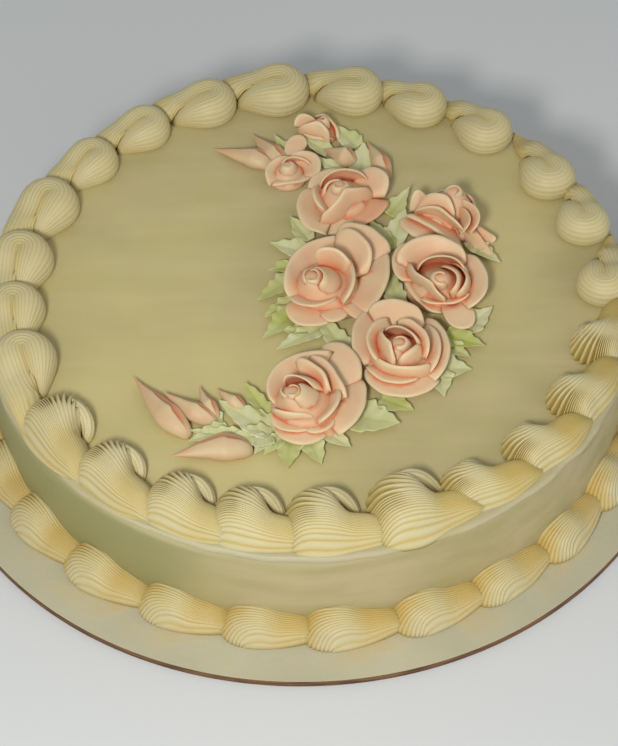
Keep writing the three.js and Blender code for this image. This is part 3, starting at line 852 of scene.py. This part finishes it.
# The foot shells' deep colour is the same painted shade, weaker.
foot_icing = icing_material("foot_icing", foot_colour, FOOT_DEEP, 0.15, 60, "crease")
add_piece("foot_shells", bm, [foot_icing], "border_icing", "foot_shell_border")


# The roses: piped petal by petal in salmon-pink buttercream with a flat curved nozzle, each on
# a small mound of the same icing round a rolled heart. The lips are paler than the faces, partly a
# painted highlight, and the folds are deep orange, partly painted shade. Every rose leans its own
# way, most of them to the front.
PETAL_FACE = (0.7, 0.45, 0.26, 1.0)
PETAL_LIP = (0.7, 0.54, 0.32, 1.0)
PETAL_FOLD = (0.7, 0.17, 0.06, 1.0)
PETAL_SPANS = 26
PETAL_ROUNDS = 24
PETAL_THICKNESS = 1.3
PETAL_ROUNDING = 0.06
PETAL_LAP = 5
PETAL_RELIEF = 0.07 * MM
INNER_PETALS = 0.62
INNER_BELLY = 1.2
OUTER_BELLY = -0.5
INNER_FOOT = -0.5
OUTER_FOOT = 0.3
OUTER_GATHER = 0.5
LIP_WIDTH = 3.2
PETAL_WAVE = Vector((0.5 * MM, 0.5 * MM, 0.6 * MM))
MOUND = (
    (0.8, 0.0), (0.76, 0.13), (0.66, 0.3), (0.54, 0.44), (0.42, 0.56), (0.33, 0.67), (0.26, 0.77),
    (0.19, 0.86), (0.1, 0.92), (0.0, 0.93),
)
MOUND_STEPS = 40
HEART_REACH = 0.12
HEART_CURL = 0.5
HEART_TURN = 150
HEART_SPREAD = 165
HEART_HEIGHT = 0.96
HEART_DROP = 0.03
FOLD_REACH = 6.5 * MM
FOLD_GAP = 0.05 * MM
# Each rose: its height, how far its heart leans in x and y, and its petals, inner ones first.
# Each petal: the direction that it faces, in degrees, how far it spreads to either side, the
# reach of its lip from the rose's axis, how that reach changes towards its left end and
# towards both ends, the height of its lip, and how far both ends drop. Lengths are in mm.
ROSES = {
    "rose_1": (16.5, (-1.8, -2.4), (
        (127, 67, 2.7, 0.43, -0.9, 15.8, 0.14), (97, 54, 8.9, -0.32, -0.34, 15.0, 0.26),
        (197, 44, 11.4, 0.11, -0.03, 13.0, 0.25), (305, 64, 4.6, -0.38, -1.94, 17.1, 0.32),
        (35, 26, 22.0, -0.03, 0.18, 10.4, 0.47), (201, 47, 19.4, 0.19, 0.01, 5.7, -0.15),
        (326, 33, 18.0, 0.1, -0.05, 5.0, 0.15), (266, 37, 19.1, -0.06, 0.09, 3.5, 0.14),
        (110, 40, 17.5, 0.0, 0.1, 7.0, 0.3),
    )),
    "rose_2": (17.5, (-9.0, -8.6), (
        (173, 74, 2.5, -0.41, -1.11, 16.6, 0.08), (12, 82, 5.4, 0.04, 0.06, 17.8, 0.12),
        (58, 27, 17.1, -0.15, 0.15, 19.0, 0.2), (358, 49, 16.5, 0.06, 0.02, 15.0, 0.32),
        (261, 53, 13.9, -0.21, 0.1, 11.0, 0.19), (143, 66, 14.2, -0.47, -0.55, 12.8, 0.14),
        (48, 27, 30.7, 0.13, 0.26, 15.6, 0.47), (55, 19, 36.6, -0.02, 0.1, 11.5, 0.24),
        (0, 45, 25.8, 0.23, -0.12, 8.0, 0.33), (310, 12, 26.4, 0.19, 0.39, 5.1, 0.35),
        (247, 36, 22.9, -0.08, 0.29, 3.9, -0.24), (279, 20, 19.1, 0.06, 0.21, 5.0, 0.1),
    )),
    "rose_3": (16.5, (-0.8, -9.6), (
        (9, 74, 6.3, -0.16, -0.15, 16.6, 0.11), (2, 57, 9.9, 0.02, -0.05, 15.1, 0.19),
        (82, 61, 10.8, -0.01, 0.02, 17.0, 0.2), (209, 65, 4.3, -0.53, -1.95, 15.2, 0.05),
        (279, 48, 12.8, 0.04, -0.06, 9.0, 0.0), (96, 49, 23.7, 0.12, 0.25, 13.4, 0.28),
        (2, 54, 19.0, 0.03, -0.01, 9.6, 0.34), (147, 23, 22.4, -0.26, 0.04, 8.0, 0.12),
        (214, 52, 13.7, 0.04, -0.21, 5.0, 0.2), (290, 17, 26.0, 0.04, 0.35, 3.9, -0.34),
    )),
    "rose_4": (15.5, (4.0, 4.0), (
        (226, 44, 6.2, -0.24, -0.71, 16.5, 0.16), (307, 14, 15.2, -0.73, 0.31, 13.8, 0.13),
        (291, 7, 16.2, -0.5, 0.3, 13.3, 0.22), (241, 41, 12.6, 0.14, -0.46, 14.0, 0.26),
        (164, 6, 15.3, 0.21, 0.14, 11.8, 0.69), (235, 42, 16.3, 0.12, -0.32, 8.1, 0.13),
        (212, 29, 20.0, -0.12, 0.18, 3.8, 0.26), (321, 2, 23.7, -0.2, 0.41, 4.3, 1.33),
        (308, 2, 30.8, 0.23, 0.32, 1.2, 3.97), (60, 55, 6.0, 0.0, 0.1, 10.5, 0.25),
        (20, 50, 9.5, 0.0, 0.1, 8.0, 0.25), (110, 50, 9.5, 0.1, 0.1, 7.5, 0.25),
        (65, 60, 13.0, 0.0, 0.1, 4.5, 0.25),
    )),
    "rose_5": (17.0, (-1.5, -3.6), (
        (187, 67, 3.7, -0.61, -1.57, 17.8, 0.13), (63, 55, 6.8, 0.22, -0.35, 17.5, 0.12),
        (319, 53, 5.5, 0.13, -0.28, 16.5, 0.12), (34, 54, 12.3, 0.2, -0.15, 15.0, 0.15),
        (262, 66, 8.8, 0.19, -0.31, 11.9, 0.0), (161, 55, 13.2, -0.37, -0.13, 13.0, 0.14),
        (8, 45, 16.3, 0.14, -0.09, 10.5, 0.26), (251, 46, 15.2, -0.04, 0.03, 7.5, 0.07),
        (87, 27, 25.9, 0.16, 0.12, 11.4, 0.26), (9, 51, 19.7, 0.16, -0.1, 7.6, 0.34),
        (260, 58, 19.6, 0.1, 0.11, 3.7, -0.21), (150, 39, 21.7, -0.36, -0.06, 7.1, 0.32),
    )),
    "rose_6": (18.0, (-9.2, -6.0), (
        (184, 64, 2.7, -0.61, -0.79, 17.0, 0.11), (77, 49, 7.6, -0.12, 0.06, 18.4, 0.12),
        (351, 80, 4.2, 0.23, 0.02, 18.0, 0.05), (55, 35, 16.3, 0.18, 0.0, 15.5, 0.13),
        (341, 40, 15.6, 0.07, 0.09, 12.5, 0.24), (251, 50, 7.5, -0.21, -0.37, 12.0, 0.08),
        (43, 36, 19.8, 0.18, -0.07, 12.5, 0.18), (128, 59, 17.1, -0.54, -0.2, 11.3, 0.22),
        (295, 29, 15.8, 0.0, 0.21, 6.0, 0.11), (238, 36, 16.1, -0.05, 0.15, 6.5, 0.07),
        (54, 21, 32.5, 0.12, 0.15, 7.9, 0.37), (354, 43, 22.0, 0.15, -0.01, 5.5, 0.31),
        (256, 38, 19.7, -0.09, 0.18, 3.3, 0.39),
    )),
}


def petal_icing_material(name, face, lip, fold):
    """Salmon-pink on the faces, cream at the lips, partly a painted highlight, and deep orange in the
    folds, partly painted shade.
    """
    def face_colour(tree):
        return blended(tree, masked(tree, "lip"), face, lip)
    return icing_material(name, face_colour, fold, 0.03, 90, "crease", PETAL_RELIEF)


def petal_sheet(bm, lip, middle, size, height, lean, petal, seed):
    """One petal: a bent sheet with a soft rolled lip, from its foot up one face and down the other."""
    turn, spread, reach, skew, tuck, top, drop = petal
    inner = reach < size * INNER_PETALS
    belly = INNER_BELLY if inner else OUTER_BELLY
    for v in sheet(bm, PETAL_SPANS, PETAL_ROUNDS):
        across = max(-1.0, min(1.0, v.co.x))
        down = min(1.0, abs(v.co.y)) ** 1.5
        end = abs(across) ** 6
        lip_reach = reach * (1 + skew * across - tuck * across * across) * (1 - 0.06 * end)
        lip_height = top * (1 - drop * across * across) * (1 - 0.22 * end)
        if inner:
            foot_reach = lip_reach + 0.5 * (INNER_PETALS * size - min(reach, lip_reach))
            foot_height = INNER_FOOT
        else:
            foot_reach = lip_reach * OUTER_GATHER
            foot_height = OUTER_FOOT * height
        out = lip_reach - foot_reach
        up = lip_height - foot_height
        run = math.hypot(out, up)
        thick = PETAL_THICKNESS / 2 * min(1.0, math.sqrt(down / PETAL_ROUNDING))
        thick *= math.sqrt(max(0.0, 1 - across ** 8))
        if v.co.y >= 0:
            thick = -thick
        radius = lip_reach - out * down + belly * math.sin(math.pi * down ** 0.8) + thick * up / run
        rise = lip_height - up * down - thick * out / run
        angle = math.radians(turn + (spread + PETAL_LAP) * across)
        share = rise / height
        v.co = middle + Vector((
            lean[0] * share + radius * math.cos(angle), lean[1] * share + radius * math.sin(angle),
            rise,
        )) * MM
        v.co += PETAL_WAVE * wander(v.co, 120, seed) * (1 - down)
        # lip: paler towards the rolled lip, partly a painted highlight, and paler in random patches.
        v[lip] = max(1 - smooth(run * down / LIP_WIDTH), 0.3 + 0.8 * wander(v.co, 70, seed))


def shade_folds(bm, crease):
    """Painted shade in the folds: marks where the icing faces more icing close by, partly its own
    deeper colour.
    """
    bm.normal_update()
    tree = bvhtree.BVHTree.FromBMesh(bm)
    for v in bm.verts:
        near = 0.0
        for tilt in (-0.6, 0.0, 0.6):
            ahead = (v.normal + Vector((0, 0, tilt))).normalized()
            gap = tree.ray_cast(v.co + v.normal * FOLD_GAP, ahead, FOLD_REACH)[3]
            near += 0 if gap is None else (1 - gap / FOLD_REACH) / 3
        v[crease] = near ** 1.2 * (0.5 + 0.5 * smooth((v.normal.z + 0.5) / 0.7))


def lying_middle(name):
    """The point of the cake's top under the middle of a solid."""
    low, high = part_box(name)
    return Vector(((low.x + high.x) / 2, (low.y + high.y) / 2, CAKE_TOP))


def rose(name, height, lean, petals):
    """A rose: its mound of icing, the rolled petal of its heart and the petals round it."""
    low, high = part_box(name)
    size = (high.x - low.x) / 2 / MM
    middle = lying_middle(name)
    bm = bmesh.new()
    crease = bm.verts.layers.float.new("crease")
    lip = bm.verts.layers.float.new("lip")
    turned(bm, [(size * reach, height * up) for reach, up in MOUND], MOUND_STEPS)
    for v in bm.verts:
        share = v.co.z / height
        v.co = middle + (v.co + Vector((lean[0] * share, lean[1] * share, 0))) * MM
    heart = (
        petals[0][0] + HEART_TURN, HEART_SPREAD, HEART_REACH * size, HEART_CURL, 0.0,
        HEART_HEIGHT * height, HEART_DROP,
    )
    for i, petal in enumerate((heart,) + petals):
        petal_sheet(bm, lip, middle, size, height, lean, petal, i * 2.9 + size)
    close_strokes(bm)
    shade_folds(bm, crease)
    add_piece(name + "_petals", bm, [petal_icing], "petal_icing", name)


petal_icing = petal_icing_material("petal_icing", PETAL_FACE, PETAL_LIP, PETAL_FOLD)
for name, (height, lean, petals) in ROSES.items():
    rose(name, height, lean, petals)


# The half-open roses of the upper spray: the same icing and nozzle, with a few low petals that
# lie over one another on a lower mound.
HALF_ROSES = {
    "half_rose_1": (8.5, (0.0, 0.0), (
        (146, 77, 7.8, 0.28, -0.19, 6.5, 0.39), (30, 49, 13.2, -0.21, 0.19, 7.3, 0.24),
        (286, 65, 7.0, 0.13, -0.71, 3.2, 0.0), (80, 71, 4.5, -0.94, -0.32, 7.5, 0.22),
        (80, 13, 20.3, -0.16, 0.24, 5.5, 0.28),
    )),
    "half_rose_2": (8.5, (0.0, 0.0), (
        (152, 22, 8.7, 0.55, 0.24, 8.1, 0.38), (33, 72, 3.7, -0.21, -1.2, 7.3, 0.42),
        (241, 62, 7.3, -0.11, -0.34, 4.0, 0.02), (244, 47, 3.6, -0.15, -1.25, 10.2, 0.2),
    )),
}
for name, (height, lean, petals) in HALF_ROSES.items():
    rose(name, height, lean, petals)


# The buds: single drops of the same pink icing, drawn out to a long point, each with a petal
# wrapped round it that leaves an orange fold along its far side, partly painted shade, and paler
# bands that are painted highlights. Five lie by the lowest rose and four in the upper spray.
BUD_AROUND = 56
BUD_ALONG = 34
BUD_WIDEST = 0.36
BUD_WRAP = 0.2
BUD_SEAM = 0.75
BUD_TWIST = 0.06
BUD_MIDDLE = 0.4
BUD_CREST = 0.58
BUD_FOLD_WIDTH = 0.14
BUD_WAVE = 0.35 * MM * Vector((1, 1, 1))
BUD_FACE = (0.59, 0.385, 0.215, 1.0)
BUD_LIP = (0.62, 0.48, 0.27, 1.0)
BUD_FOLD = (0.6, 0.15, 0.055, 1.0)
# Each bud: its foot and its tip, in mm from the middle of its place, its width and height, how
# far its tip rises and how far it bends sideways.
BUDS = (
    (11.6, -15.2, -10.8, 14.7, 11.5, 7.5, 3, 1.5),
    (10.7, -7.9, -10.4, 6.5, 9.5, 7, 4, 1.5),
    (3.8, -10.4, -3.6, 5.6, 6.5, 5.5, 3, 1),
    (5.8, -5.7, -6.0, 4.4, 6.5, 5, 2.5, 1.5),
    (15.7, 2.0, -15.6, -2.9, 13.5, 8, 3.5, -3.5),
    (16.0, -5.7, -11.2, 5.3, 10.5, 7, 2, -1),
    (8.6, -13.8, -5.9, 5.5, 10, 7, 2.5, 0.5),
    (6.6, -6.1, -7.3, 2.8, 10.5, 8, 2.5, 0),
    (3.8, -14.2, -4.7, 7.3, 8.5, 7.5, 3, 0),
)


def run_between(line):
    """The foot of something that lies on the cake, its run to the tip and the direction aside."""
    foot = Vector((line[0], line[1], 0)) * MM
    run = Vector((line[2], line[3], 0)) * MM - foot
    return foot, run, Vector((-run.y, run.x, 0)).normalized() * MM


bud_icing = petal_icing_material("bud_icing", BUD_FACE, BUD_LIP, BUD_FOLD)
for k, bud in enumerate(BUDS, 1):
    name = f"bud_{k}"
    width, height, rise, bend = bud[4:]
    foot, run, aside = run_between(bud)
    foot += lying_middle(name)
    bm = bmesh.new()
    crease = bm.verts.layers.float.new("crease")
    lip = bm.verts.layers.float.new("lip")
    for v in sheet(bm, BUD_AROUND, BUD_ALONG):
        along = max(0.0, min(1.0, (v.co.y + 1) / 2)) ** 1.2
        if along < BUD_WIDEST:
            swell = math.sqrt(max(0.0, 1 - (1 - along / BUD_WIDEST) ** 2))
        else:
            rest = (1 - along) / (1 - BUD_WIDEST)
            swell = rest ** 1.25 * (1.4 - 0.4 * rest)
        wrap = (v.co.x / 2 + 1.5 - BUD_SEAM - BUD_TWIST * along) % 1
        reach = swell * (1 - BUD_WRAP * (1 - smooth(wrap * 1.6)))
        turn = math.pi * v.co.x
        place = foot + run * along
        place += aside * (width / 2 * reach * math.cos(turn) + 2 * bend * along * (1 - along))
        lift = height * (BUD_MIDDLE * swell + BUD_CREST * reach * math.sin(turn))
        place.z += MM * (rise * along * along + lift)
        place += BUD_WAVE * wander(place, 130, k) * swell
        # crease: an orange fold along the seam, partly painted shade, and deeper colour towards the
        # tip.
        v[crease] = min(1.0, (
            0.9 * (1 - smooth(wrap / BUD_FOLD_WIDTH)) * smooth(along / 0.2)
            * (1 - smooth((along - 0.6) / 0.3))
            + 0.35 * smooth((along - 0.55) / 0.45) + 0.12 * wander(place, 90, k + 4)
        ))
        # lip: paler at the wrapped petal's edge and in bands round the drop, painted highlights.
        v[lip] = 0.5 + 0.5 * smooth((wrap - 0.8) / 0.2) + 0.35 * math.sin(3.5 * turn + along + k)
        v.co = place
    close_strokes(bm)
    add_piece(f"{name}_drop", bm, [bud_icing], "petal_icing", name)


# The leaves: pale green and white buttercream squeezed from a leaf nozzle between the flowers.
# Each is one or more thin ruffled blades with a groove along the middle, and the nozzle was
# pulled away to leave a point.
LEAF_PALE = (0.63, 0.61, 0.35, 1.0)
LEAF_DEEP = (0.4, 0.42, 0.07, 1.0)
LEAF_AROUND = 40
LEAF_ROWS = 30
LEAF_THICKNESS = 1.2
LEAF_RUFFLE = 4.6
LEAF_CUP = 1.5
LEAF_FLUTE = 0.45
LEAF_LIFT = 0.9
LEAF_LOWEST = 0.3
LEAF_RELIEF = 0.07 * MM
# Each leaf: its blades. A blade has its foot and its tip, in mm from the middle of the leaf's
# place, its width, how far its tip rises and how deep a green it is.
LEAVES = (
    ((5.8, -2.3, -1.3, 9.3, 9, 2.5, 0.1),),
    ((11.7, 4.9, -2.8, 9.2, 11, 2, 0.15),),
    ((11.1, 9.2, -3.7, -4.5, 11, 1.2, 0.3), (9.5, 14.8, 0.7, 12.0, 7, 1, 0.4)),
    ((7.8, 5.5, -6.4, -9.8, 12, 1, 0.55), (5.4, 11.0, -5.6, 2.0, 9, 0.8, 0.4)),
    ((7.9, 6.0, -10.1, -6.6, 11, 1.2, 0.15), (1.6, 4.0, -7.3, 3.0, 8, 1.5, 0.45)),
    ((2.8, -6.5, -7.0, 11.0, 11, 2.2, 0.12),),
    ((0.0, -10.6, -7.2, 5.0, 10, 3, 0.4), (1.0, -7.2, 7.7, 10.4, 12, 3, 0.08)),
    ((-2.9, -5.3, 6.0, 5.9, 9, 5, 0.35),),
    ((3.2, -12.7, -1.1, 10.9, 10, 2, 0.3),),
    ((-5.8, 8.8, 5.7, -5.6, 9, 2, 0.1), (-3.7, 3.1, 2.3, 4.7, 6, 3, 0.2)),
    ((-6.8, -7.6, 5.6, 3.7, 12, 1.5, 0.1),),
    ((-7.3, 2.1, 7.8, -5.7, 12, 2, 0.6), (-6.0, -4.3, 1.7, -10.8, 8, 1.5, 0.35)),
    ((-6.4, -3.9, 5.4, -5.4, 13, 1.5, 0.02),),
    ((-2.1, 9.2, 0.3, -3.7, 11, 0.8, 0.05),),
    ((-6.3, 5.4, 6.0, -1.2, 13, 1, 0.5),),
    ((-9.9, 3.8, 8.4, -2.6, 21, 2.5, 0.2),),
    ((-6.2, 8.9, 4.1, -0.3, 10, 1.5, 0.12), (-11.6, 5.0, -6.9, -7.9, 11, 1, 0.2)),
    ((-1.5, 11.6, -2.8, -5.1, 12, 1.5, 0.45), (-5.3, 11.7, -11.3, 2.3, 8, 1, 0.45)),
    (
        (11.6, -5.8, -8.8, 8.7, 15, 2.5, 0), (11.6, -7.7, -4.9, -8.5, 13, 1.5, 0.1),
        (-0.4, -7.5, -19.3, -5.2, 8, 1.5, 0.15), (10.1, -7.7, 4.9, -16.6, 8, 1, 0),
    ),
    ((5.8, -8.8, -3.3, 6.2, 9, 3, 0.5),),
    ((7.1, 5.0, -7.9, -1.7, 9, 1, 0.1), (4.8, 10.0, -7.3, 9.2, 8, 1.5, 0.08)),
    ((2.7, -5.2, -4.8, 6.5, 8, 2.5, 0.3),),
    ((7.2, -2.8, -4.8, 6.1, 9, 2.5, 0.15),),
    ((1.7, -3.5, -7.3, 7.8, 10, 2.5, 0.05),),
    ((-1.2, -7.9, 0.4, 7.3, 13, 4, 0),),
    ((4.9, -2.4, -6.6, 6.4, 10, 3, 0.05), (-3.5, -5.7, -9.5, 3.3, 8, 2, 0.2)),
)


def leaf_blade(bm, crease, middle, blade, seed):
    """One blade: a ruffled sheet with a groove along its middle, and its underside."""
    width, rise, green = blade[4:]
    foot, run, aside = run_between(blade)
    waves = max(2.0, run.length / (LEAF_RUFFLE * MM))
    for v in sheet(bm, LEAF_AROUND, LEAF_ROWS):
        under = abs(v.co.x) > 0.5
        across = math.copysign(2 * (1 - abs(v.co.x)), v.co.x) if under else 2 * v.co.x
        edge = abs(across)
        along = max(0.0, min(1.0, (v.co.y + 1) / 2))
        taper = min(1.0, 0.62 + 1.6 * along) * (1 - along ** 1.9) ** 1.15
        ruffle = math.sin((along * waves - 0.3 * edge + 0.13 * seed) * 2 * math.pi)
        half = 1 + 0.07 * ruffle + 0.16 * uneven(seed) * math.sin(5 * along)
        half = width / 2 * taper * half + 0.2
        place = middle + foot + run * along + aside * half * across
        place += run.normalized() * 0.5 * MM * ruffle * edge * (1 - along)
        lift = LEAF_LIFT + (LEAF_CUP * edge + LEAF_FLUTE * ruffle * edge ** 1.3) * taper
        lift += rise * along * along + 0.5 * math.sin(along * 5 + seed) * across * taper
        thick = 0.0
        if under:
            thick = LEAF_THICKNESS * math.sqrt(max(0.0, 1 - edge ** 4)) * (1 - 0.6 * along)
        place.z += MM * (max(LEAF_LOWEST, lift) + 0.3 * wander(place, 160, seed) - thick)
        # green is the blade's own colour; the deeper colour along the groove near the foot and in the
        # low parts of the ruffles is painted shade.
        v[crease] = max(0.0, min(1.0, (
            green + 0.4 * (1 - smooth(edge / 0.3)) * (1 - along) + 0.14 * (0.5 - 0.5 * ruffle) * edge
            + 0.4 * wander(place, 80, seed + 9)
        )))
        v.co = place


leaf_icing = icing_material("leaf_icing", LEAF_PALE, LEAF_DEEP, 0.1, 120, "crease", LEAF_RELIEF)
for k, blades in enumerate(LEAVES, 1):
    bm = bmesh.new()
    crease = bm.verts.layers.float.new("crease")
    for i, blade in enumerate(blades):
        leaf_blade(bm, crease, lying_middle(f"leaf_{k}"), blade, k + i * 1.7)
    close_strokes(bm)
    add_piece(f"leaf_{k}_blades", bm, [leaf_icing], "leaf_icing", f"leaf_{k}")
